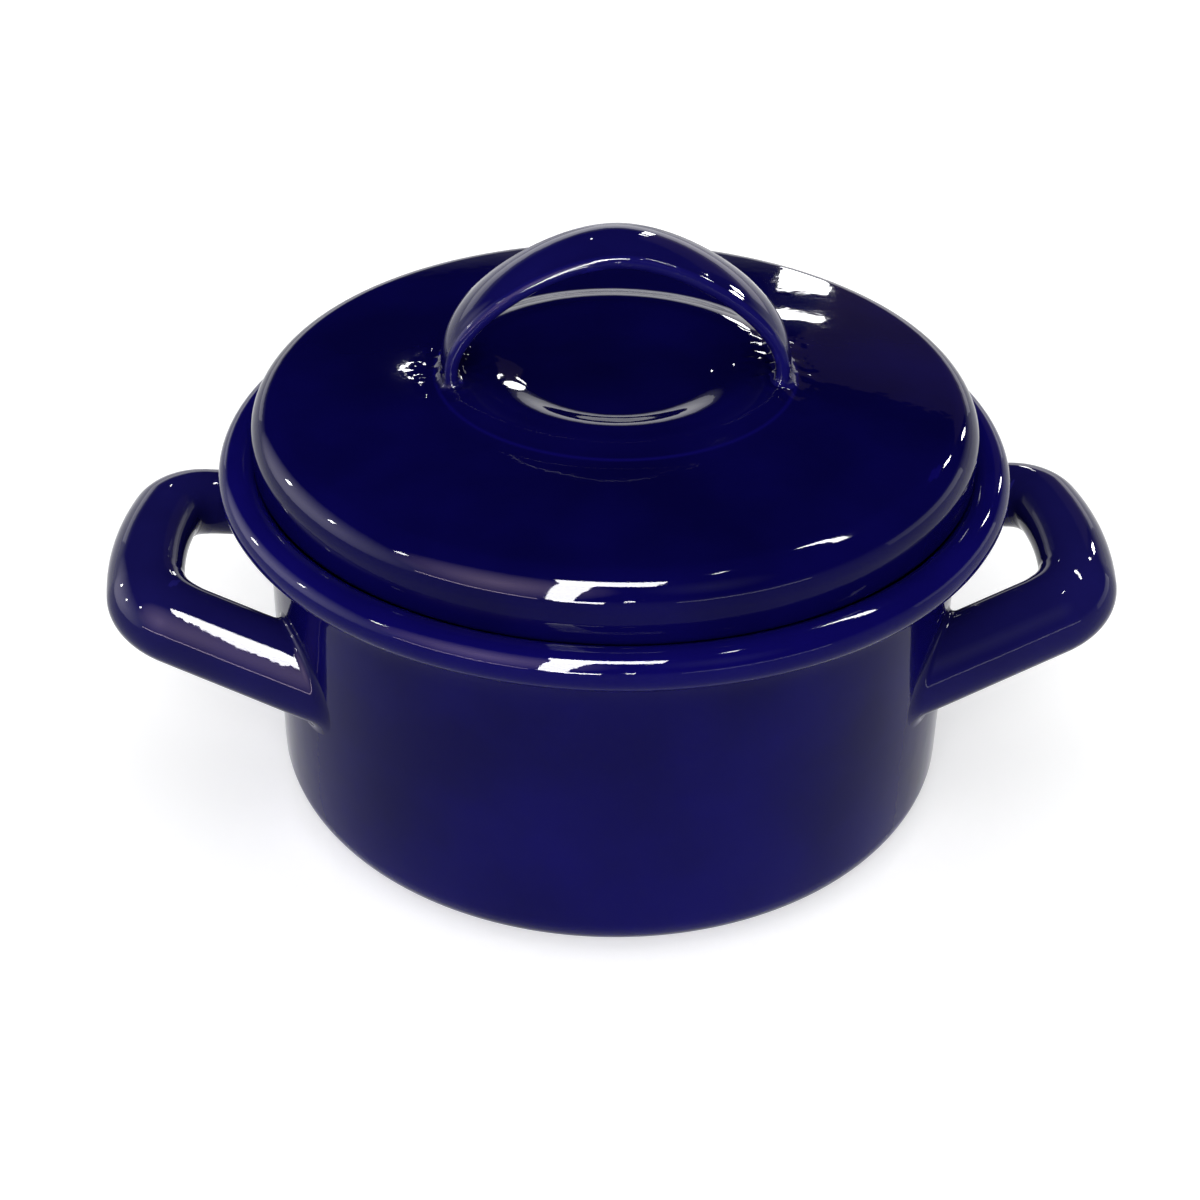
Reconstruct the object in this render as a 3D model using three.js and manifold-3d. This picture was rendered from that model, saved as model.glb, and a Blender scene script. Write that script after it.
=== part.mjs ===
// Mini enamel casserole pot: a drawn steel pot with a rolled rim, two loop handles, and a lift-off lid
// with a strap handle, all enamelled in one colour.
// Millimetres, +Z up. X runs through the two side handles, Y from front to back, and the origin is on
// the table under the middle of the pot.

import * as THREE from 'three';
import { mergeVertices } from 'three/addons/utils/BufferGeometryUtils.js';
import Module from 'manifold-3d';

const wasm = await Module();
wasm.setup();

// Pot body
const wallRadius = 61;            // outside of the straight wall
const sheet = 1.2;                // steel with enamel on both faces
const cornerRadius = 6.5;         // outside, between wall and base
const baseRecess = 0.8;           // the base is pressed in, so that it stands on a ring
const recessRadius = 46;
const recessSlope = 3;            // radial length of the step into the recess
const rimCentreRadius = 65.1;     // middle of the rolled rim
const rimCentreHeight = 61.4;
const rimRadius = 3.45;           // outside of the roll
const rimTipAngle = -122;         // the roll stops short of the wall
const neckHeight = 50;            // the wall starts to flare here

// Lid, as it sits on the rim
const lidRadius = 62.5;
const shoulderRadius = 5.5;
const shoulderHeight = 69.2;      // centre of the shoulder's curve
const domeRadius = 470;           // large radius of the lid's crown
const ringHeight = 1.15;          // the middle of the lid is raised, with a rounded step down round it
const ringRadius = 25.8;          // the step starts here
const ringStep = 7.2;             // radial length of the step
const dishDepth = 3;              // hollow under the lid handle, below the raised middle
const dishFloorRadius = 11;
const dishEdgeRadius = 23.3;
const hemInside = 0.5;            // the lid's edge is turned in through half a circle
const hemLeg = 1.2;               // straight end of the turned edge

// Lid handle, a bent strap
const strapWidth = 15;
const strapThickness = 2.4;
const strapCrown = 0.8;           // the strap is rounded across its width
const strapHalfSpan = 27.9;       // middle of the strap at its feet
const strapTop = 100.5;           // middle of the strap's edge at the top
const strapFoot = 80.2;           // the legs are upright below this height
const strapTail = 6;              // upright length, before the legs are cut to the lid
const strapRise = 8.7;            // pull of the curve upward at the foot
const strapShoulder = 11.6;       // pull of the curve sideways at the top

// Side handles, bent from oval tube
const tubeHalfWidth = 6;
const tubeHalfHeight = 7.15;
const tubeLean = 43;              // the oval leans in over the loop, degrees from upright
const tubeWall = 1.4;
const gripReach = 83.76;          // axis of the pot to the middle of the grip
const gripRadius = 68.8;          // the grip is bowed a little outward
const gripHalfAngle = 10.7;       // degrees of that bow on each side
const bendRadius = 9.6;
const armSplay = 17.6;            // the arms open towards the pot, degrees from X
const armInnerX = 40;             // the tube runs in to here before it is cut to the wall
const handleRise = 15;            // the loop rises outward, degrees
const handleHeight = 35.58;       // middle of the tube where it meets the wall's radius

// Welds
const gap = 0.3;                  // clearance between pieces that touch
const tubeWeldLeg = 2.2;
const strapWeldLeg = 1.8;
const weldHollow = 0.3;           // how far the weld's face bulges back from its corner, 0 to 1

// Facets
const turnSteps = 48;
const dishSteps = 5;
const landSteps = 1;
const ringSteps = 3;
const crownSteps = 3;
const tubeSides = 16;
const boreSides = 10;
const tubeSteps = 32;
const strapSteps = 34;
const weldSides = 24;
const cutterSteps = 96;

const enamel = { color: 0x150f5e, roughness: 0.08, metalness: 0 };

const radians = THREE.MathUtils.degToRad;

function arc(x, y, radius, from, to, steps) {
	const points = [];
	for (let i = 0; i <= steps; i++) {
		const angle = radians(from + (to - from) * i / steps);
		points.push(new THREE.Vector2(x + radius * Math.cos(angle), y + radius * Math.sin(angle)));
	}
	return points;
}

// A smooth sidestep from one upright line to another
function sidestep(x0, y0, x1, y1, steps) {
	const middle = (y0 + y1) / 2;
	return new THREE.CubicBezierCurve(
		new THREE.Vector2(x0, y0),
		new THREE.Vector2(x0, middle),
		new THREE.Vector2(x1, middle),
		new THREE.Vector2(x1, y1),
	).getPoints(steps);
}

// A profile of radius and height, turned about Z
function turned(profile, steps) {
	return new THREE.LatheGeometry(profile, steps).rotateX(Math.PI / 2);
}

function solid(geometry) {
	const bare = geometry.clone();
	bare.deleteAttribute('normal');
	bare.deleteAttribute('uv');
	const merged = mergeVertices(bare, 1e-4);
	return new wasm.Manifold(new wasm.Mesh({
		numProp: 3,
		vertProperties: new Float32Array(merged.attributes.position.array),
		triVerts: new Uint32Array(merged.index.array),
	}));
}

function surface(manifold) {
	const mesh = manifold.getMesh();
	const geometry = new THREE.BufferGeometry();
	geometry.setAttribute('position', new THREE.BufferAttribute(new Float32Array(mesh.vertProperties), 3));
	geometry.setIndex(new THREE.BufferAttribute(new Uint32Array(mesh.triVerts), 1));
	geometry.computeVertexNormals();
	return geometry;
}

function cutTo(geometry, cutter) {
	return surface(solid(geometry).subtract(solid(cutter)));
}

function piece(name, geometry) {
	const mesh = new THREE.Mesh(geometry, new THREE.MeshStandardMaterial(enamel));
	mesh.name = name;
	return mesh;
}

// Pot: out along the base, up the outside, round the inside of the rolled rim to its tip, back over the
// rim and down the inside
function potProfile() {
	const cornerX = wallRadius - cornerRadius;
	const innerWall = wallRadius - sheet;
	const rollInside = rimRadius - sheet;
	return [
		new THREE.Vector2(0, baseRecess),
		new THREE.Vector2(recessRadius - recessSlope, baseRecess),
		new THREE.Vector2(recessRadius, 0),
		...arc(cornerX, cornerRadius, cornerRadius, -90, 0, 6),
		...sidestep(wallRadius, neckHeight, rimCentreRadius - rollInside, rimCentreHeight, 4),
		...arc(rimCentreRadius, rimCentreHeight, rollInside, 180, rimTipAngle, 6).slice(1),
		...arc(rimCentreRadius, rimCentreHeight, rimRadius, rimTipAngle, 180, 12),
		...sidestep(rimCentreRadius - rimRadius, rimCentreHeight, innerWall, neckHeight, 4).slice(1),
		...arc(cornerX, cornerRadius, cornerRadius - sheet, 0, -90, 5),
		new THREE.Vector2(recessRadius, sheet),
		new THREE.Vector2(recessRadius - recessSlope, sheet + baseRecess),
		new THREE.Vector2(0, sheet + baseRecess),
	];
}

// Height of the lid's top at a radius: a shallow crown, its raised middle and the hollow in that
const shoulderX = lidRadius - shoulderRadius;
const crownAngle = Math.asin(shoulderX / (domeRadius - shoulderRadius));
const crownEdge = domeRadius * Math.sin(crownAngle);
const crownCentre = shoulderHeight - (domeRadius - shoulderRadius) * Math.cos(crownAngle);

function lidTop(radius) {
	const crown = crownCentre + Math.sqrt(domeRadius ** 2 - radius ** 2);
	const across = THREE.MathUtils.clamp((radius - ringRadius) / ringStep, 0, 1);
	const ring = ringHeight * (1 - across ** 2) ** 2;
	const dish = dishDepth * (1 - THREE.MathUtils.smoothstep(radius, dishFloorRadius, dishEdgeRadius));
	return crown + ring - dish;
}

// Even steps from one value up to, but not including, another
function steps(from, to, count) {
	return Array.from({ length: count }, (_, i) => from + (to - from) * i / count);
}

// Lid: out along the underside, down inside the shoulder, round the turned edge, up the outside and back
// over the top
function lidProfile() {
	const shoulderFrom = 90 - THREE.MathUtils.radToDeg(crownAngle);
	const hemOutside = hemInside + sheet;
	const hemX = lidRadius - hemOutside;
	const hemReach = rimRadius + hemOutside + gap;
	const hemHeight = rimCentreHeight + Math.sqrt(hemReach ** 2 - (rimCentreRadius - hemX) ** 2);
	const ringEnd = ringRadius + ringStep;
	const radii = [
		0,
		...steps(dishFloorRadius, dishEdgeRadius, dishSteps),
		...steps(dishEdgeRadius, ringRadius, landSteps),
		...steps(ringRadius, ringEnd, ringSteps),
		...steps(ringEnd, crownEdge, crownSteps),
	];
	const top = radii.map((radius) => new THREE.Vector2(radius, lidTop(radius)));
	const under = radii.map((radius) => new THREE.Vector2(radius, lidTop(radius) - sheet));
	return [
		...under,
		...arc(shoulderX, shoulderHeight, shoulderRadius - sheet, shoulderFrom, 0, 5),
		...arc(hemX, hemHeight, hemInside, 0, -180, 3),
		new THREE.Vector2(hemX - hemInside, hemHeight + hemLeg),
		new THREE.Vector2(hemX - hemOutside, hemHeight + hemLeg),
		...arc(hemX, hemHeight, hemOutside, -180, 0, 6),
		...arc(shoulderX, shoulderHeight, shoulderRadius, 0, shoulderFrom, 7),
		...top.reverse(),
	];
}

// An arc lying flat, as a curve in space
class FlatArc extends THREE.Curve {
	constructor(x, y, radius, from, to) {
		super();
		Object.assign(this, { x, y, radius, from: radians(from), to: radians(to) });
	}

	getPoint(t, target = new THREE.Vector3()) {
		const angle = this.from + (this.to - this.from) * t;
		return target.set(this.x + this.radius * Math.cos(angle), this.y + this.radius * Math.sin(angle), 0);
	}
}

// Middle line of the right handle, drawn flat: front arm, bend, bowed grip, bend, rear arm
const bendX = gripReach - gripRadius + (gripRadius - bendRadius) * Math.cos(radians(gripHalfAngle));
const bendY = (gripRadius - bendRadius) * Math.sin(radians(gripHalfAngle));
const armAngle = 90 - armSplay;
const armStart = new THREE.Vector3(
	bendX + bendRadius * Math.cos(radians(armAngle)),
	bendY + bendRadius * Math.sin(radians(armAngle)),
	0,
);
const armEnd = new THREE.Vector3(
	armInnerX,
	armStart.y + (armStart.x - armInnerX) * Math.tan(radians(armSplay)),
	0,
);

function handlePath() {
	const mirror = new THREE.Vector3(1, -1, 1);
	const path = new THREE.CurvePath();
	path.add(new THREE.LineCurve3(armEnd.clone().multiply(mirror), armStart.clone().multiply(mirror)));
	path.add(new FlatArc(bendX, -bendY, bendRadius, -armAngle, -gripHalfAngle));
	path.add(new FlatArc(gripReach - gripRadius, 0, gripRadius, -gripHalfAngle, gripHalfAngle));
	path.add(new FlatArc(bendX, bendY, bendRadius, gripHalfAngle, armAngle));
	path.add(new THREE.LineCurve3(armStart.clone(), armEnd.clone()));
	return path;
}

// The flat drawing is tilted so that the loop rises outward
const handlePlace = new THREE.Matrix4()
	.makeTranslation(wallRadius, 0, handleHeight)
	.multiply(new THREE.Matrix4().makeRotationY(-radians(handleRise)))
	.multiply(new THREE.Matrix4().makeTranslation(-wallRadius, 0, 0));

// Oval outline of the tube: x runs down and y to the inside of the loop
function ovalPoints(halfHeight, halfWidth, sides) {
	const oval = new THREE.EllipseCurve(0, 0, halfHeight, halfWidth, 0, 2 * Math.PI, false, -radians(tubeLean));
	return oval.getPoints(sides).slice(0, sides);
}

function sideHandle() {
	const section = new THREE.Shape(ovalPoints(tubeHalfHeight, tubeHalfWidth, tubeSides));
	section.holes.push(new THREE.Path(
		ovalPoints(tubeHalfHeight - tubeWall, tubeHalfWidth - tubeWall, boreSides),
	));
	const tube = new THREE.ExtrudeGeometry(section, {
		steps: tubeSteps,
		extrudePath: handlePath(),
		bevelEnabled: false,
	}).applyMatrix4(handlePlace);
	const wall = new THREE.CylinderGeometry(wallRadius + gap, wallRadius + gap, 3 * wallRadius, cutterSteps)
		.rotateX(Math.PI / 2);
	return cutTo(tube, wall);
}

// Closed ring lofted through equal sections
function ringLoft(sections) {
	const sides = sections[0].length;
	const positions = sections.flat().flatMap((point) => point.toArray());
	const index = [];
	sections.forEach((_, i) => {
		const next = (i + 1) % sections.length;
		for (let j = 0; j < sides; j++) {
			const k = (j + 1) % sides;
			index.push(i * sides + j, next * sides + k, next * sides + j);
			index.push(i * sides + j, i * sides + k, next * sides + k);
		}
	});
	const geometry = new THREE.BufferGeometry();
	geometry.setAttribute('position', new THREE.Float32BufferAttribute(positions, 3));
	geometry.setIndex(index);
	geometry.computeVertexNormals();
	return geometry;
}

// Section of a hollow-faced weld in the corner between a piece and the face that it stands on.
// along runs up the piece, away runs out over the face.
function weldSection(corner, along, away, leg) {
	const cosine = along.dot(away);
	const sine = Math.sqrt(1 - cosine ** 2);
	const at = (a, b) => corner.clone().addScaledVector(along, a).addScaledVector(away, b);
	const root = at(gap / sine, gap / sine);
	const upper = at(leg - gap * cosine / sine, gap / sine);
	const lower = at(gap / sine, leg - gap * cosine / sine);
	const pull = root.clone().lerp(upper.clone().lerp(lower, 0.5), weldHollow);
	const face = new THREE.QuadraticBezierCurve3(upper, pull, lower).getPoints(4);
	return [root, ...face];
}

// Weld round the end of one arm of the right handle. side is -1 for the front arm and 1 for the rear one.
function tubeWeld(side) {
	const start = armStart.clone().multiply(new THREE.Vector3(1, side, 1)).applyMatrix4(handlePlace);
	const inner = armEnd.clone().multiply(new THREE.Vector3(1, side, 1)).applyMatrix4(handlePlace);
	const along = start.clone().sub(inner).normalize();
	const upright = new THREE.Vector3(0, 0, 1).transformDirection(handlePlace)
		.applyAxisAngle(along, side * radians(tubeLean));
	const sideways = upright.clone().cross(along);
	const sections = [];
	for (let i = 0; i < weldSides; i++) {
		const angle = 2 * Math.PI * i / weldSides;
		const from = start.clone()
			.addScaledVector(sideways, tubeHalfWidth * Math.cos(angle))
			.addScaledVector(upright, tubeHalfHeight * Math.sin(angle));
		const outward = sideways.clone().multiplyScalar(Math.cos(angle) / tubeHalfWidth)
			.addScaledVector(upright, Math.sin(angle) / tubeHalfHeight)
			.normalize();
		const a = along.x ** 2 + along.y ** 2;
		const b = from.x * along.x + from.y * along.y;
		const c = from.x ** 2 + from.y ** 2 - wallRadius ** 2;
		const corner = from.clone().addScaledVector(along, (Math.sqrt(b ** 2 - a * c) - b) / a);
		const facing = new THREE.Vector3(corner.x, corner.y, 0).normalize();
		const away = outward.clone().addScaledVector(facing, -outward.dot(facing)).normalize();
		sections.push(weldSection(corner, along, away, tubeWeldLeg));
	}
	return ringLoft(sections);
}

// Outline of the strap's section: x across its width, y towards the inside of the arch
function strapSection() {
	const half = strapThickness / 2;
	const flat = strapWidth / 2 - half;
	const across = [-1, -0.5, 0, 0.5, 1];
	const crowned = (u, offset) => new THREE.Vector2(u * flat, offset - strapCrown * (1 - u ** 2));
	return [
		...across.map((u) => crowned(u, -half)),
		...arc(flat, 0, half, -90, 90, 4).slice(1, -1),
		...across.map((u) => crowned(-u, half)),
		...arc(-flat, 0, half, 90, 270, 4).slice(1, -1),
	];
}

// Middle line of the strap: up the left leg, over the top and down the right leg
function strapPath() {
	const at = (x, z) => new THREE.Vector3(x, 0, z);
	const path = new THREE.CurvePath();
	path.add(new THREE.LineCurve3(at(-strapHalfSpan, strapFoot - strapTail), at(-strapHalfSpan, strapFoot)));
	path.add(new THREE.CubicBezierCurve3(
		at(-strapHalfSpan, strapFoot),
		at(-strapHalfSpan, strapFoot + strapRise),
		at(-strapShoulder, strapTop),
		at(0, strapTop),
	));
	path.add(new THREE.CubicBezierCurve3(
		at(0, strapTop),
		at(strapShoulder, strapTop),
		at(strapHalfSpan, strapFoot + strapRise),
		at(strapHalfSpan, strapFoot),
	));
	path.add(new THREE.LineCurve3(at(strapHalfSpan, strapFoot), at(strapHalfSpan, strapFoot - strapTail)));
	return path;
}

function lidHandle() {
	const strap = new THREE.ExtrudeGeometry(new THREE.Shape(strapSection()), {
		steps: strapSteps,
		extrudePath: strapPath(),
		bevelEnabled: false,
	});
	const radii = [0, 0.25, 0.5, 0.75, 1].map((share) => strapHalfSpan - 4 + 8 * share);
	const seat = turned([
		new THREE.Vector2(0, 0),
		new THREE.Vector2(radii[4], 0),
		...radii.map((radius) => new THREE.Vector2(radius, lidTop(radius) + gap)).reverse(),
		new THREE.Vector2(0, lidTop(radii[0]) + gap),
	], cutterSteps);
	return cutTo(strap, seat);
}

// Weld round one foot of the lid handle. side is -1 for the left foot and 1 for the right one.
function strapWeld(side) {
	const outline = strapSection();
	const along = new THREE.Vector3(0, 0, 1);
	const place = (point) => new THREE.Vector3(side * (strapHalfSpan - point.y), side * point.x, 0);
	const sections = outline.map((point, i) => {
		const before = outline[(i + outline.length - 1) % outline.length];
		const after = outline[(i + 1) % outline.length];
		const edge = place(after).sub(place(before));
		const outward = new THREE.Vector3(edge.y, -edge.x, 0).normalize();
		const corner = place(point);
		const radius = Math.hypot(corner.x, corner.y);
		corner.z = lidTop(radius);
		const step = 0.01;
		const slope = (lidTop(radius + step) - lidTop(radius - step)) / (2 * step);
		const facing = new THREE.Vector3(-slope * corner.x / radius, -slope * corner.y / radius, 1).normalize();
		const away = outward.clone().addScaledVector(facing, -outward.dot(facing)).normalize();
		return weldSection(corner, along, away, strapWeldLeg);
	});
	return ringLoft(sections);
}

const pot = new THREE.Group();
pot.add(piece('pot_body', turned(potProfile(), turnSteps)));

// The left loop is the right one turned half way round, so its front root is the right one's rear root
const handleGeometry = sideHandle();
const rootGeometry = { front: tubeWeld(-1), rear: tubeWeld(1) };
for (const [side, turn, roots] of [
	['right', 0, { front: 'front', rear: 'rear' }],
	['left', Math.PI, { front: 'rear', rear: 'front' }],
]) {
	const loop = new THREE.Group();
	loop.rotation.z = turn;
	loop.add(piece(`${side}_side_handle`, handleGeometry));
	for (const [name, root] of Object.entries(roots)) {
		loop.add(piece(`${side}_handle_${name}_weld`, rootGeometry[root]));
	}
	pot.add(loop);
}

const lid = new THREE.Group();
lid.add(piece('lid_shell', turned(lidProfile(), turnSteps)));
lid.add(piece('lid_handle', lidHandle()));
lid.add(piece('lid_handle_left_weld', strapWeld(-1)));
lid.add(piece('lid_handle_right_weld', strapWeld(1)));

const casserole = new THREE.Group();
casserole.add(pot, lid);

export default casserole;
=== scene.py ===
import math

import bpy
from mathutils import Matrix, Vector, noise


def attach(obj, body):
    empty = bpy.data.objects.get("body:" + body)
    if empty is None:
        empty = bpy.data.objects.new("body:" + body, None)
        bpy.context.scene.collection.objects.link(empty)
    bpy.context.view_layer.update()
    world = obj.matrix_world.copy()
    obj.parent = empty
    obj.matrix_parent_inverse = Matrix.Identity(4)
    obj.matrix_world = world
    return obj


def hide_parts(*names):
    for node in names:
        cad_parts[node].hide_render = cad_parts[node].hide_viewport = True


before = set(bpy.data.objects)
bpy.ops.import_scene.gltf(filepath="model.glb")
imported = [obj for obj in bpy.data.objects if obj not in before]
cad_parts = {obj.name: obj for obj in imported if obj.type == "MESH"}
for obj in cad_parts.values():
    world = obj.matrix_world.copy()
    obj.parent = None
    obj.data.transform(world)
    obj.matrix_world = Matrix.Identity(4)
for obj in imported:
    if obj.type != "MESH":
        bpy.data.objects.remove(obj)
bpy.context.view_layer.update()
print("frame loaded,", len(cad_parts), "nodes")

scene = bpy.context.scene
scene.view_settings.view_transform = "Standard"

mm = 0.001
tiny = 1e-5  # points closer than this are one


# small helpers, all lengths in millimetres until a mesh is made

def arcPoints(x, z, radius, start, end, steps):
    turn = [math.radians(start + (end - start) * i / steps) for i in range(steps + 1)]
    return [(x + radius * math.cos(a), z + radius * math.sin(a)) for a in turn]


def curvePoints(a, b, c, d, steps):
    # cubic curve through its four handles, end points included
    out = []
    for i in range(steps + 1):
        t = i / steps
        s = 1 - t
        w = (s ** 3, 3 * s * s * t, 3 * s * t * t, t ** 3)
        out.append(sum((Vector(p) * k for p, k in zip((a, b, c, d), w)), Vector([0] * len(a))))
    return out


def sidestep(x0, z0, x1, z1, steps):
    middle = (z0 + z1) / 2
    return [tuple(p) for p in curvePoints((x0, z0), (x0, middle), (x1, middle), (x1, z1), steps)]


def linePoints(a, b, steps):
    a, b = Vector(a), Vector(b)
    return [a.lerp(b, i / steps) for i in range(steps + 1)]


def smoothStep(x, low, high):
    t = min(max((x - low) / (high - low), 0), 1)
    return t * t * (3 - 2 * t)


def makePiece(name, points, faces, body, nodes, material):
    mesh = bpy.data.meshes.new(name)
    mesh.from_pydata([p * mm for p in points], [], faces)
    mesh.validate()
    mesh.polygons.foreach_set("use_smooth", [True] * len(mesh.polygons))
    mesh.materials.append(material)
    piece = bpy.data.objects.new(name, mesh)
    scene.collection.objects.link(piece)
    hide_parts(*nodes)
    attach(piece, body)
    print(name, len(faces), "faces")


def turned(profile, steps):
    # a profile that starts and ends on the axis, turned about Z
    points, faces, rows = [], [], []
    for r, z in profile:
        if r < tiny:
            rows.append([len(points)] * steps)
            points.append(Vector((0, 0, z)))
            continue
        rows.append(range(len(points), len(points) + steps))
        turn = [2 * math.pi * i / steps for i in range(steps)]
        points += [Vector((r * math.cos(a), r * math.sin(a), z)) for a in turn]
    for low, high in zip(rows, rows[1:]):
        for i in range(steps):
            j = (i + 1) % steps
            corners = [low[i], low[j], high[j], high[i]]
            faces.append([c for k, c in enumerate(corners) if c not in corners[:k]])
    return points, faces


def joinRings(rings):
    count = len(rings[0])
    points = [p for ring in rings for p in ring]
    faces = []
    for i in range(len(rings) - 1):
        for j in range(count):
            k = (j + 1) % count
            faces.append([i * count + j, i * count + k, (i + 1) * count + k, (i + 1) * count + j])
    return points, faces


def bendInto(start, corner, end, steps):
    # hollow curve from start to end, pulled into the corner
    out = []
    for i in range(steps + 1):
        t = i / steps
        out.append(start * (1 - t) ** 2 + corner * (2 * t * (1 - t)) + end * t ** 2)
    return out


def dropRepeats(points):
    out = [points[0]]
    for p in points[1:]:
        if (Vector(p) - Vector(out[-1])).length > tiny:
            out.append(p)
    return out


# enamel, one recipe for every piece with its own tone and seed; each noise is its scale and detail

enamelLook = {
    # one enamel in four tones: the lid's darker as painted shade, the loops' and strap's greyer as painted
    # sheen
    "pot": (0.0026, 0.0017, 0.062),
    "lid": (0.0017, 0.0011, 0.042),
    "loop": (0.0055, 0.0046, 0.056),
    "strap": (0.0040, 0.0032, 0.060),
    "drift": (0.76, 1.26), "driftNoise": (40, 5), "driftRange": (0.35, 0.68),
    # the lighter tone for convex curves and where it starts: partly a thinner coat, partly painted sheen
    "edge": 1.9, "coatAndSheenRange": (0.50, 0.55),
    "roughness": (0.02, 0.045), "smearNoise": (90, 4),
    "specular": 0.05,
    "peel": 0.05, "peelNoise": (260, 2), "peelDepth": 0.0004,
    # a painted highlight: a pale line round the foot of the lid's step
    "stepHighlight": {"radius": 0.0309, "half": 0.0005, "share": 0.9},
}


def addNoise(nodes, links, where, look):
    texture = nodes.new("ShaderNodeTexNoise")
    texture.inputs["Scale"].default_value, texture.inputs["Detail"].default_value = look
    links.new(where.outputs["Object"], texture.inputs["Vector"])
    return texture


def addStepHighlight(nodes, links, where):
    # how much of the lighter tone is painted round the foot of the lid's step, a painted highlight line
    look = enamelLook["stepHighlight"]
    flat = nodes.new("ShaderNodeVectorMath")
    flat.operation = "MULTIPLY"
    flat.inputs[1].default_value = (1, 1, 0)
    radius = nodes.new("ShaderNodeVectorMath")
    radius.operation = "LENGTH"
    off = nodes.new("ShaderNodeMath")
    off.operation = "SUBTRACT"
    off.inputs[1].default_value = look["radius"]
    apart = nodes.new("ShaderNodeMath")
    apart.operation = "ABSOLUTE"
    line = nodes.new("ShaderNodeMapRange")
    line.inputs["From Max"].default_value = look["half"]
    line.inputs["To Min"].default_value, line.inputs["To Max"].default_value = look["share"], 0
    links.new(where.outputs["Object"], flat.inputs[0])
    links.new(flat.outputs["Vector"], radius.inputs[0])
    links.new(radius.outputs["Value"], off.inputs[0])
    links.new(off.outputs["Value"], apart.inputs[0])
    links.new(apart.outputs["Value"], line.inputs["Value"])
    return line


def enamelMaterial(name, tone, seed):
    material = bpy.data.materials.new(name)
    material.use_nodes = True
    nodes, links = material.node_tree.nodes, material.node_tree.links
    shader = nodes["Principled BSDF"]
    shader.inputs["Specular IOR Level"].default_value = enamelLook["specular"]
    where = nodes.new("ShaderNodeTexCoord")

    def shade(strength):
        return (*(c * strength for c in enamelLook[tone]), 1)

    # slow drift of tone where the enamel ran thicker or thinner
    drift = addNoise(nodes, links, where, enamelLook["driftNoise"])
    drift.noise_dimensions = "4D"
    drift.inputs["W"].default_value = seed
    coat = nodes.new("ShaderNodeValToRGB")
    for i, stop in enumerate(coat.color_ramp.elements):
        stop.position, stop.color = enamelLook["driftRange"][i], shade(enamelLook["drift"][i])
    links.new(drift.outputs["Fac"], coat.inputs["Fac"])

    # the coat thins over tight curves and shows a little lighter there; this lighter tone on convex curves is
    # partly real and partly painted sheen
    bend = nodes.new("ShaderNodeNewGeometry")
    thinCoatAndSheen = nodes.new("ShaderNodeMapRange")
    thinCoatAndSheen.inputs["From Min"].default_value, thinCoatAndSheen.inputs["From Max"].default_value = enamelLook["coatAndSheenRange"]
    edge = nodes.new("ShaderNodeMix")
    edge.data_type = "RGBA"
    edge.inputs["B"].default_value = shade(enamelLook["edge"])
    links.new(bend.outputs["Pointiness"], thinCoatAndSheen.inputs["Value"])
    # the lid also takes the painted highlight line round its step, on top of the lighter convex curves
    if tone == "lid":
        sheenAndStepHighlight = nodes.new("ShaderNodeMath")
        sheenAndStepHighlight.operation = "MAXIMUM"
        links.new(thinCoatAndSheen.outputs["Result"], sheenAndStepHighlight.inputs[0])
        links.new(addStepHighlight(nodes, links, where).outputs["Result"], sheenAndStepHighlight.inputs[1])
        links.new(sheenAndStepHighlight.outputs["Value"], edge.inputs["Factor"])
    else:
        links.new(thinCoatAndSheen.outputs["Result"], edge.inputs["Factor"])
    links.new(coat.outputs["Color"], edge.inputs["A"])
    links.new(edge.outputs["Result"], shader.inputs["Base Color"])

    # faint smears in the gloss
    smear = addNoise(nodes, links, where, enamelLook["smearNoise"])
    gloss = nodes.new("ShaderNodeMapRange")
    gloss.inputs["To Min"].default_value, gloss.inputs["To Max"].default_value = enamelLook["roughness"]
    links.new(smear.outputs["Fac"], gloss.inputs["Value"])
    links.new(gloss.outputs["Result"], shader.inputs["Roughness"])

    # orange peel of the fired coat
    peel = addNoise(nodes, links, where, enamelLook["peelNoise"])
    bump = nodes.new("ShaderNodeBump")
    bump.inputs["Strength"].default_value = enamelLook["peel"]
    bump.inputs["Distance"].default_value = enamelLook["peelDepth"]
    links.new(peel.outputs["Fac"], bump.inputs["Height"])
    links.new(bump.outputs["Normal"], shader.inputs["Normal"])
    return material


# pot body

pot = {
    "wall": 61, "sheet": 1.2, "corner": 6.5, "recess": 0.8, "recessRadius": 46, "recessSlope": 3,
    "rim": (65.09, 61.4), "roll": 3.45, "rollTip": -122, "neck": 50, "floorRing": 20, "floorHold": 4,
    "seed": 1.0, "steps": 240, "wallCuts": 12, "bendCuts": 14, "rollCuts": 40, "insideCuts": 20, "edgeCuts": 6,
}


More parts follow.
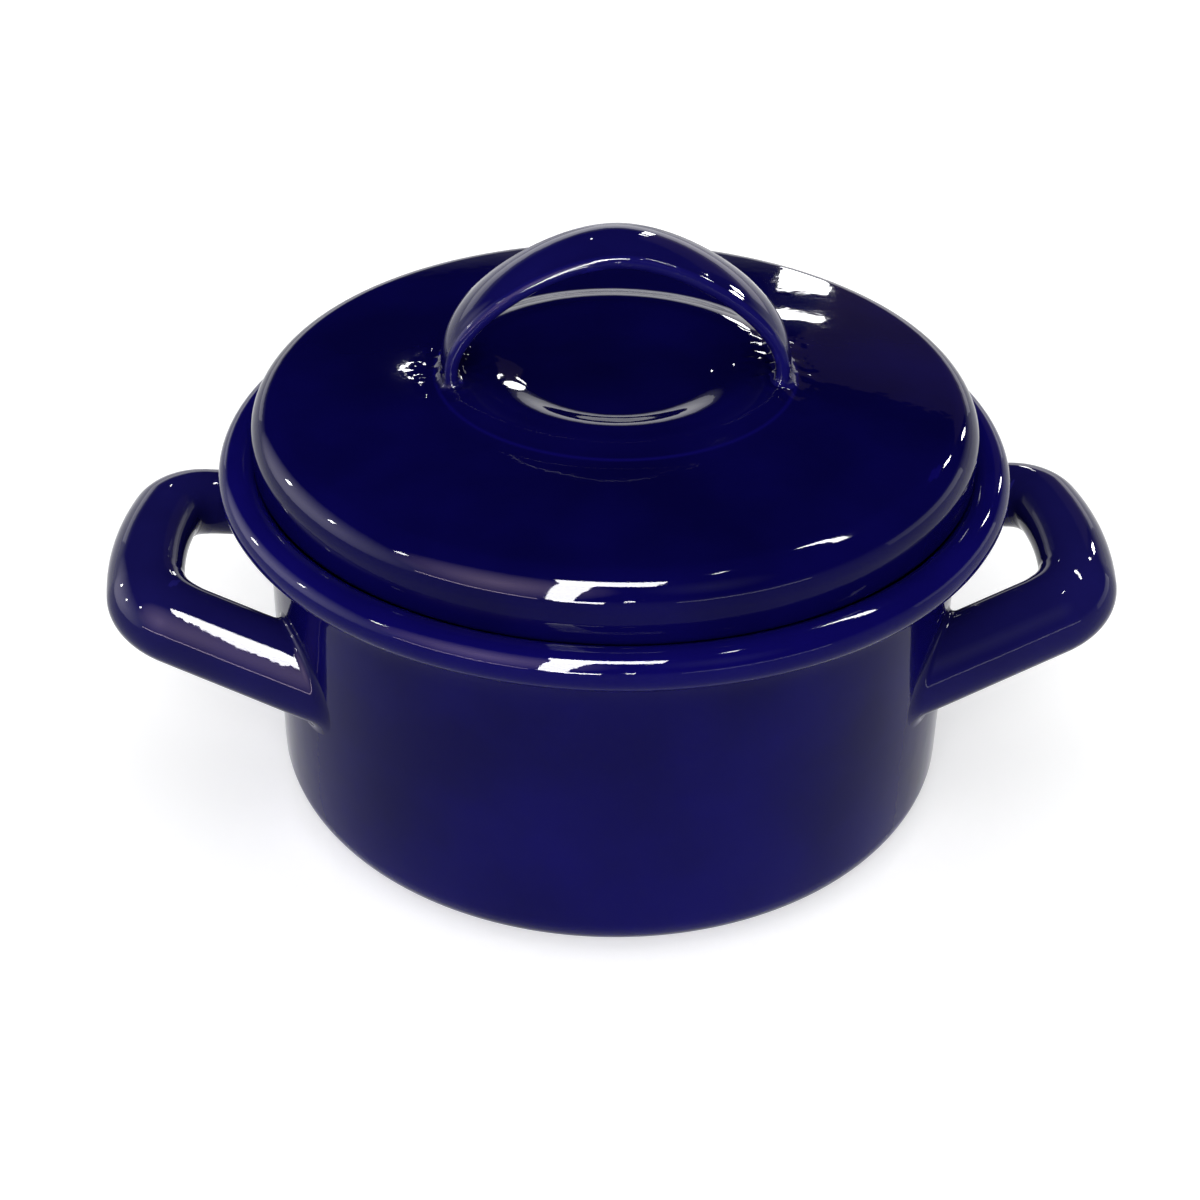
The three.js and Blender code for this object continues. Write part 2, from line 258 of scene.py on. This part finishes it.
def potProfile():
    wall, sheet, corner, recess = pot["wall"], pot["sheet"], pot["corner"], pot["recess"]
    x, z = pot["rim"]
    inside = pot["roll"] - sheet
    step = pot["recessRadius"] - pot["recessSlope"], pot["recessRadius"]
    floor = [0, pot["floorRing"], step[0] - pot["floorHold"], step[0]]
    wallCuts, bendCuts = pot["wallCuts"], pot["bendCuts"]
    profile = [(r, recess) for r in floor] + [(step[1], 0)]
    profile += arcPoints(wall - corner, corner, corner, -90, 0, bendCuts)
    profile += [(wall, corner + (pot["neck"] - corner) * i / wallCuts) for i in range(1, wallCuts)]
    profile += sidestep(wall, pot["neck"], x - inside, z, bendCuts)
    profile += arcPoints(x, z, inside, 180, pot["rollTip"], pot["insideCuts"])
    # the raw edge of the roll, rounded
    tip, tipTurn = pot["rollTip"], math.radians(pot["rollTip"])
    middle = (x + (inside + sheet / 2) * math.cos(tipTurn), z + (inside + sheet / 2) * math.sin(tipTurn))
    profile += arcPoints(*middle, sheet / 2, tip - 180, tip, pot["edgeCuts"])
    profile += arcPoints(x, z, pot["roll"], pot["rollTip"], 180, pot["rollCuts"])
    profile += sidestep(x - pot["roll"], z, wall - sheet, pot["neck"], bendCuts)
    profile += [(wall - sheet, pot["neck"] + (corner - pot["neck"]) * i / wallCuts) for i in range(1, wallCuts)]
    profile += arcPoints(wall - corner, corner, corner - sheet, 0, -90, wallCuts)
    profile += [(step[1], sheet)] + [(r, sheet + recess) for r in reversed(floor)]
    return dropRepeats(profile)


points, faces = turned(potProfile(), pot["steps"])
makePiece("pot_shell", points, faces, "pot", ["pot_body"], enamelMaterial("enamel_pot", "pot", pot["seed"]))


# lid

lid = {
    "radius": 62.5, "shoulder": 5.5, "shoulderZ": 69.2, "dome": 470,
    "dish": 2.4, "dishFloor": 13.5, "dishEdge": 23.7, "ring": 1.15, "ringRadius": 25.8, "ringStep": 7.2,
    "hemIn": 0.5, "hemLeg": 1.2, "gap": 0.3, "seed": 2.0,
    "steps": 240, "crownCuts": 76, "shoulderCuts": 26, "insideCuts": 14, "hemCuts": 20, "hemInCuts": 8,
}
shoulderX = lid["radius"] - lid["shoulder"]
crownAngle = math.asin(shoulderX / (lid["dome"] - lid["shoulder"]))
crownEdge = lid["dome"] * math.sin(crownAngle)
crownZ = lid["shoulderZ"] - (lid["dome"] - lid["shoulder"]) * math.cos(crownAngle)


def lidTop(radius):
    crown = crownZ + math.sqrt(lid["dome"] ** 2 - radius ** 2)
    across = min(max((radius - lid["ringRadius"]) / lid["ringStep"], 0), 1)
    ring = lid["ring"] * (1 - across ** 2) ** 2
    return crown + ring - lid["dish"] * (1 - smoothStep(radius, lid["dishFloor"], lid["dishEdge"]))


# runs and blobs of enamel on the lid round both feet of its handle
lumps = {"place": 27.9, "across": 0.5, "reach": (3.5, 8.8), "size": 1.7, "depth": 0.25, "flare": 0.5}


def lumpNoise(x, y):
    return noise.noise(Vector((x, y, 0)) / lumps["size"])


def lidSurface(x, y):
    away = math.hypot(abs(x) - lumps["place"], y * lumps["across"])
    share = 1 - smoothStep(away, *lumps["reach"])
    return lidTop(math.hypot(x, y)) + lumps["depth"] * share * lumpNoise(x, y)


def lidProfile():
    sheet = pot["sheet"]
    start = 90 - math.degrees(crownAngle)
    hemOut = lid["hemIn"] + sheet
    hemX = lid["radius"] - hemOut
    reach = pot["roll"] + hemOut + lid["gap"]
    hemZ = pot["rim"][1] + math.sqrt(reach ** 2 - (pot["rim"][0] - hemX) ** 2)
    radii = [crownEdge * i / lid["crownCuts"] for i in range(lid["crownCuts"])]
    profile = [(r, lidTop(r) - sheet) for r in radii]
    profile += arcPoints(shoulderX, lid["shoulderZ"], lid["shoulder"] - sheet, start, 0, lid["insideCuts"])
    profile += arcPoints(hemX, hemZ, lid["hemIn"], 0, -180, lid["hemInCuts"])
    profile += [(hemX - lid["hemIn"], hemZ + lid["hemLeg"]), (hemX - hemOut, hemZ + lid["hemLeg"])]
    profile += arcPoints(hemX, hemZ, hemOut, -180, 0, lid["hemCuts"])
    profile += arcPoints(shoulderX, lid["shoulderZ"], lid["shoulder"], 0, start, lid["shoulderCuts"])
    profile += [(r, lidTop(r)) for r in reversed(radii)]
    return dropRepeats(profile)


points, faces = turned(lidProfile(), lid["steps"])
for p in points:
    radius = math.hypot(p.x, p.y)
    if radius < crownEdge and p.z > lidTop(radius) - pot["sheet"] / 2:  # the upper face alone
        p.z = lidSurface(p.x, p.y)
makePiece("lid_cover", points, faces, "lid", ["lid_shell"], enamelMaterial("enamel_lid", "lid", lid["seed"]))


# side handles: oval tube swept along arm, bend, bowed grip, bend and arm, both ends flared on to the wall

loop = {
    "halfWidth": 6, "halfHeight": 7.15, "lean": 43, "reach": 83.73, "gripRadius": 68.8, "gripAngle": 10.7,
    "bend": 9.6, "splay": 17.6, "rise": 15, "height": 35.58, "root": 57.5,
    "insideBend": 7.5, "insideReach": 6.5, "flare": 2.2, "sink": 0.05, "clear": 0.3, "seed": 3.0,
    "sides": 56, "gripCuts": 28, "bendCuts": 30, "armCuts": 44, "flareCuts": 12,
}
armAngle = 90 - loop["splay"]
gripTurn = math.radians(loop["gripAngle"])
bendRun = loop["gripRadius"] - loop["bend"]
bendX = loop["reach"] - loop["gripRadius"] + bendRun * math.cos(gripTurn)
bendY = bendRun * math.sin(gripTurn)


def bendPoint(angle):
    a = math.radians(angle)
    return Vector((bendX, bendY)) + loop["bend"] * Vector((math.cos(a), math.sin(a)))


def loopPath():
    # drawn flat for the right handle, from the front root to the rear one
    grip, start = loop["gripRadius"], bendPoint(armAngle)
    root = start + (start.x - loop["root"]) * Vector((-1, math.tan(math.radians(loop["splay"]))))
    swing, cuts = armAngle - loop["gripAngle"], loop["bendCuts"]
    rear = arcPoints(loop["reach"] - grip, 0, grip, 0, loop["gripAngle"], loop["gripCuts"])
    rear += [tuple(bendPoint(loop["gripAngle"] + swing * i / cuts)) for i in range(1, cuts + 1)]
    rear += [tuple(p) for p in linePoints(start, root, loop["armCuts"])][1:]
    return [(x, -y) for x, y in reversed(rear)] + rear[1:]


def insideFill(x, y):
    # how far the inside of the loop is filled out, so that its bends turn on a larger radius
    large, small = loop["insideBend"], loop["bend"] - loop["insideReach"]
    half = math.radians(armAngle - loop["gripAngle"]) / 2
    middle = math.radians(armAngle + loop["gripAngle"]) / 2
    turn = abs(math.atan2(abs(y) - bendY, x - bendX) - middle)
    if turn < half:
        shift = (large - small) / math.cos(half)
        return small + shift * math.cos(turn) - math.sqrt(large ** 2 - (shift * math.sin(turn)) ** 2)
    past = min((Vector((x, abs(y))) - bendPoint(angle)).length for angle in (loop["gripAngle"], armAngle))
    return large - math.sqrt(large ** 2 - max((large - small) * math.tan(half) - past, 0) ** 2)


rise = Matrix.Rotation(-math.radians(loop["rise"]), 3, "Y")


def lift(x, y):
    return Vector((pot["wall"], 0, loop["height"])) + rise @ Vector((x - pot["wall"], y, 0))


def onWall(point, along):
    # where a line from point along the arm meets the wall
    a = along.x ** 2 + along.y ** 2
    b = point.x * along.x + point.y * along.y
    c = point.x ** 2 + point.y ** 2 - pot["wall"] ** 2
    return point + along * ((math.sqrt(b * b - a * c) - b) / a)


def wallFlare(ring, middle, along):
    # rings of the hollow flare from the arm down on to the wall
    centre = onWall(middle, along)
    corners = [onWall(p, along) for p in ring]
    rows = []
    for corner in corners:
        facing = Vector((corner.x, corner.y, 0)).normalized()
        away = corner - centre
        away -= along * away.dot(along)
        away = (away - facing * away.dot(facing)).normalized()
        foot = corner + away * loop["flare"]
        sunk = (pot["wall"] - loop["sink"]) / math.hypot(foot.x, foot.y)
        foot = Vector((foot.x * sunk, foot.y * sunk, foot.z))
        rows.append(bendInto(corner + along * loop["flare"], corner, foot, loop["flareCuts"]))
    return [list(ring) for ring in zip(*rows)], corners


def loopRings():
    flat = loopPath()
    path = [lift(*p) for p in flat]
    up = rise @ Vector((0, 0, 1))
    lean = math.radians(loop["lean"])
    rings = []
    for i, middle in enumerate(path):
        ahead = (path[min(i + 1, len(path) - 1)] - path[max(i - 1, 0)]).normalized()
        out = ahead.cross(up).normalized()
        tall = up * math.cos(lean) - out * math.sin(lean)
        wide = out * math.cos(lean) + up * math.sin(lean)
        turn = [-2 * math.pi * k / loop["sides"] for k in range(loop["sides"])]
        halfWide, halfTall = wide * loop["halfWidth"], tall * loop["halfHeight"]
        ring = [middle + halfWide * math.cos(t) + halfTall * math.sin(t) for t in turn]
        fill = insideFill(*flat[i])
        depth = [smoothStep((middle - p).dot(out), 0, loop["insideReach"]) for p in ring]
        rings.append([p - out * fill * d for p, d in zip(ring, depth)])
    front, rear = (path[1] - path[0]).normalized(), (path[-2] - path[-1]).normalized()
    frontFlare, frontCorners = wallFlare(rings[0], path[0], front)
    rearFlare, rearCorners = wallFlare(rings[-1], path[-1], rear)
    free = []
    for middle, ring in zip(path, rings):
        along, corners = (front, frontCorners) if middle.y < 0 else (rear, rearCorners)
        if min((p - c).dot(along) for p, c in zip(ring, corners)) > loop["flare"] + loop["clear"]:
            free.append(ring)
    return frontFlare[::-1] + free + rearFlare


def buildLoops():
    rings = loopRings()
    for side, turn in (("right", 0), ("left", math.pi)):
        spin = Matrix.Rotation(turn, 3, "Z")
        points, faces = joinRings([[spin @ p for p in ring] for ring in rings])
        nodes = [side + "_side_handle", side + "_handle_front_weld", side + "_handle_rear_weld"]
        material = enamelMaterial("enamel_" + side + "_loop", "loop", loop["seed"] + turn)
        makePiece(side + "_loop", points, faces, "pot", nodes, material)


buildLoops()


# lid handle: a crowned strap bent over the dish, flared on to the lid at both feet

strap = {
    "width": 15, "thick": 2.4, "crown": 0.8, "span": 27.9, "top": 100.49, "foot": 80.2, "rise": 8.7,
    "shoulder": 11.6, "flare": 1.4, "sink": 0.05, "seed": 5.0,
    "pathCuts": 40, "acrossCuts": 8, "edgeCuts": 12, "flareCuts": 10,
}


def strapSection():
    # x across the width, y to the inside of the arch
    half = strap["thick"] / 2
    flat = strap["width"] / 2 - half
    across = [-1 + i / strap["acrossCuts"] for i in range(2 * strap["acrossCuts"] + 1)]
    rows = [(u * flat, -half - strap["crown"] * (1 - u * u)) for u in across]
    rows += arcPoints(flat, 0, half, -90, 90, strap["edgeCuts"])[1:-1]
    rows += [(-u * flat, half - strap["crown"] * (1 - u * u)) for u in across]
    rows += arcPoints(-flat, 0, half, 90, 270, strap["edgeCuts"])[1:-1]
    return rows


def lidFlare(ring, centre):
    # rings of the hollow flare from a foot of the strap down on to the lid
    rows = []
    for k, p in enumerate(ring):
        edge = ring[(k + 1) % len(ring)] - ring[k - 1]
        out = Vector((edge.y, -edge.x, 0)).normalized()
        if centre.x > 0:
            out = -out
        flare = strap["flare"] * (1 + lumps["flare"] * lumpNoise(p.x, p.y))
        corner = Vector((p.x, p.y, lidSurface(p.x, p.y)))
        foot = corner + out * flare
        foot.z = lidSurface(foot.x, foot.y) - strap["sink"]
        rows.append(bendInto(corner + Vector((0, 0, flare)), corner, foot, strap["flareCuts"]))
    return [list(ring) for ring in zip(*rows)]


def strapRings():
    span, foot, top = strap["span"], strap["foot"], strap["top"]
    handles = (-span, 0, foot), (-span, 0, foot + strap["rise"]), (-strap["shoulder"], 0, top), (0, 0, top)
    left = curvePoints(*handles, strap["pathCuts"])
    path = left + [Vector((-p.x, 0, p.z)) for p in reversed(left[:-1])]
    across = Vector((0, -1, 0))
    rings = []
    for i, middle in enumerate(path):
        ahead = (path[min(i + 1, len(path) - 1)] - path[max(i - 1, 0)]).normalized()
        if middle.z < foot + tiny:  # both ends stand upright
            ahead = Vector((0, 0, 1 if middle.x < 0 else -1))
        inner = ahead.cross(across)
        rings.append([middle + across * x + inner * y for x, y in strapSection()])
    leftFlare, rightFlare = lidFlare(rings[0], path[0]), lidFlare(rings[-1], path[-1])
    return leftFlare[::-1] + rings + rightFlare


points, faces = joinRings(strapRings())
makePiece("lid_strap", points, faces, "lid", ["lid_handle", "lid_handle_left_weld", "lid_handle_right_weld"],
          enamelMaterial("enamel_strap", "strap", strap["seed"]))


# floor, lifted to white for the eye and for reflections, while lamps and the object's shadow still fall on it

paper = {"half": 1.6, "colour": 0.80, "roughness": 0.9, "lift": 0.38}


def makeFloor():
    half = paper["half"]
    mesh = bpy.data.meshes.new("floor")
    corners = [(-half, -half, 0), (half, -half, 0), (half, half, 0), (-half, half, 0)]
    mesh.from_pydata(corners, [], [(0, 1, 2, 3)])
    floor = bpy.data.objects.new("floor", mesh)
    scene.collection.objects.link(floor)
    material = bpy.data.materials.new("paper")
    material.use_nodes = True
    nodes, links = material.node_tree.nodes, material.node_tree.links
    shader = nodes["Principled BSDF"]
    shader.inputs["Base Color"].default_value = (paper["colour"],) * 3 + (1,)
    shader.inputs["Roughness"].default_value = paper["roughness"]
    shader.inputs["Specular IOR Level"].default_value = 0
    shader.inputs["Emission Color"].default_value = (1, 1, 1, 1)
    ray = nodes.new("ShaderNodeLightPath")
    seen = nodes.new("ShaderNodeMath")
    seen.operation = "MAXIMUM"
    through = nodes.new("ShaderNodeMath")
    through.operation = "MAXIMUM"
    lift = nodes.new("ShaderNodeMath")
    lift.operation = "MULTIPLY"
    lift.inputs[1].default_value = paper["lift"]
    links.new(ray.outputs["Is Camera Ray"], seen.inputs[0])
    links.new(ray.outputs["Is Glossy Ray"], seen.inputs[1])
    links.new(seen.outputs["Value"], through.inputs[0])
    links.new(ray.outputs["Is Transmission Ray"], through.inputs[1])
    links.new(through.outputs["Value"], lift.inputs[0])
    links.new(lift.outputs["Value"], shader.inputs["Emission Strength"])
    mesh.materials.append(material)


makeFloor()


# camera, set to the photograph's view

shot = {
    "target": (-2.34, 0, 44.08), "distance": 372.1, "elevation": 32.27, "turn": -2.4, "roll": 0.76,
    "lens": 62.06, "sensor": 36, "shiftY": -0.0552, "clip": (0.01, 20),
}


def makeCamera():
    data = bpy.data.cameras.new("camera")
    data.sensor_width = shot["sensor"]
    data.lens = shot["lens"]
    data.shift_y = shot["shiftY"]
    data.clip_start, data.clip_end = shot["clip"]
    camera = bpy.data.objects.new("camera", data)
    scene.collection.objects.link(camera)
    e = math.radians(shot["elevation"])
    ahead = Vector((0, math.cos(e), -math.sin(e)))
    level = Vector((1, 0, 0))
    up = level.cross(ahead)
    r = math.radians(shot["roll"])
    right, up = level * math.cos(r) + up * math.sin(r), up * math.cos(r) - level * math.sin(r)
    place = Matrix((right, up, -ahead)).transposed().to_4x4()
    place.translation = (Vector(shot["target"]) - ahead * shot["distance"]) * mm
    camera.matrix_world = Matrix.Rotation(math.radians(shot["turn"]), 4, "Z") @ place
    scene.camera = camera


makeCamera()


# light: three broad suns for even soft light, and panels that show only as reflections in the enamel

suns = {
    "front": {"azimuth": 184, "elevation": 32, "angle": 40, "strength": 2.2},
    "top": {"azimuth": 0, "elevation": 80, "angle": 85, "strength": 1.6},
    "dome": {"azimuth": 180, "elevation": 89, "angle": 170, "strength": 0.35},
}

# azimuth runs from straight behind the pot over its right side, width and height in degrees
panels = {
    "mainLeft": {"azimuth": 197.4, "elevation": 38, "size": (8.3, 60), "strength": 240},
    "mainTop": {"azimuth": 184, "elevation": 66.5, "size": (21, 14), "strength": 240},
    "mainLow": {"azimuth": 192, "elevation": 7.5, "size": (14, 5), "strength": 240},
    "mainGap": {"azimuth": 178, "elevation": 13, "size": (3, 4), "strength": 240},
    "warmSide": {
        "azimuth": 219, "elevation": 35, "size": (62, 66), "strength": 20,
        "colour": (1, 0.76, 0.96), "soft": True,
    },
    "warmStrip": {"azimuth": 222, "elevation": 7, "size": (36, 2), "strength": 55, "colour": (1, 0.8, 0.92)},
    "coolSide": {
        "azimuth": 276, "elevation": 13, "size": (84, 50), "strength": 12,
        "colour": (0.9, 0.86, 1), "soft": True,
    },
    "rightStrip": {"azimuth": 145, "elevation": 5, "size": (40, 2), "strength": 16},
    "rightSide": {"azimuth": 150, "elevation": 42, "size": (36, 40), "strength": 1.5, "soft": True},
    "spotA": {"azimuth": 297, "elevation": 17, "size": (2.5, 4), "strength": 210},
    "spotB": {"azimuth": 275.5, "elevation": 21, "size": (2.5, 4), "strength": 210},
    "spotC": {"azimuth": 254, "elevation": 36, "size": (3, 4), "strength": 210},
    "spotD": {"azimuth": 351.4, "elevation": 26.5, "size": (0.6, 0.7), "strength": 130},
    "spotE": {"azimuth": 42, "elevation": 29.5, "size": (3, 3), "strength": 170},
    "spotF": {"azimuth": 48, "elevation": 55, "size": (20, 2.5), "strength": 210},
    "spotG": {"azimuth": 98, "elevation": 73, "size": (5, 1.6), "strength": 210},
    "spotH": {"azimuth": 41.5, "elevation": 17, "size": (2.5, 4), "strength": 170},
    "backWide": {"azimuth": 0, "elevation": 5, "size": (76, 10), "strength": 1.4},
    "rightWide": {"azimuth": 78, "elevation": 5, "size": (40, 10), "strength": 2.2},
    "backDim": {
        "azimuth": 24.5, "elevation": 13, "size": (23, 29), "strength": 0.18,
        "colour": (1, 0.75, 0.7),
    },
    "backRight": {"azimuth": 11.6, "elevation": 13.2, "size": (2.4, 5.2), "strength": 36},
    "backBar": {"azimuth": 11.8, "elevation": 19.4, "size": (2.6, 1.2), "strength": 42},
}
panelDistance, sunDistance = 4, 2
lampAim = Vector((0, 0, 0.06))


def toward(azimuth, elevation):
    a, e = math.radians(azimuth), math.radians(elevation)
    return Vector((math.sin(a) * math.cos(e), math.cos(a) * math.cos(e), math.sin(e)))


def addLamp(name, kind, direction, distance):
    data = bpy.data.lights.new(name, kind)
    lamp = bpy.data.objects.new(name, data)
    scene.collection.objects.link(lamp)
    lamp.location = lampAim + direction * distance
    lamp.rotation_euler = (-direction).to_track_quat("-Z", "Y").to_euler()
    return lamp


def fadeOut(light):
    # brightest in the middle of the panel, nothing at its edges
    light.use_nodes = True
    nodes, links = light.node_tree.nodes, light.node_tree.links
    where = nodes.new("ShaderNodeNewGeometry")
    middle = nodes.new("ShaderNodeMapping")
    middle.inputs["Location"].default_value = (-1, -1, 0)
    middle.inputs["Scale"].default_value = (2, 2, 0)
    fade = nodes.new("ShaderNodeTexGradient")
    fade.gradient_type = "SPHERICAL"
    links.new(where.outputs["Parametric"], middle.inputs["Vector"])
    links.new(middle.outputs["Vector"], fade.inputs["Vector"])
    links.new(fade.outputs["Fac"], nodes["Emission"].inputs["Strength"])


def makeLight():
    for name, look in suns.items():
        lamp = addLamp(name, "SUN", toward(look["azimuth"], look["elevation"]), sunDistance)
        lamp.data.energy = look["strength"]
        lamp.data.angle = math.radians(look["angle"])
        lamp.visible_glossy = False
    for name, look in panels.items():
        lamp = addLamp(name, "AREA", toward(look["azimuth"], look["elevation"]), panelDistance)
        lamp.data.shape = "RECTANGLE"
        sides = [2 * panelDistance * math.tan(math.radians(v / 2)) for v in look["size"]]
        lamp.data.size, lamp.data.size_y = sides
        lamp.data.energy = look["strength"] * math.pi * lamp.data.size * lamp.data.size_y
        lamp.data.color = look.get("colour", (1, 1, 1))
        lamp.visible_diffuse = False
        if look.get("soft"):
            fadeOut(lamp.data)


makeLight()


# the room round it, white at the horizon and dark above

room = {"horizon": (0.06, (1, 1, 1, 1)), "above": (0.24, (0.004, 0.004, 0.005, 1))}


def makeWorld():
    world = bpy.data.worlds.new("room")
    world.use_nodes = True
    nodes, links = world.node_tree.nodes, world.node_tree.links
    where = nodes.new("ShaderNodeTexCoord")
    split = nodes.new("ShaderNodeSeparateXYZ")
    band = nodes.new("ShaderNodeValToRGB")
    for stop, key in zip(band.color_ramp.elements, ("horizon", "above")):
        stop.position, stop.color = room[key]
    links.new(where.outputs["Generated"], split.inputs["Vector"])
    links.new(split.outputs["Z"], band.inputs["Fac"])
    links.new(band.outputs["Color"], nodes["Background"].inputs["Color"])
    scene.world = world


makeWorld()
print("lights", len(bpy.data.lights))
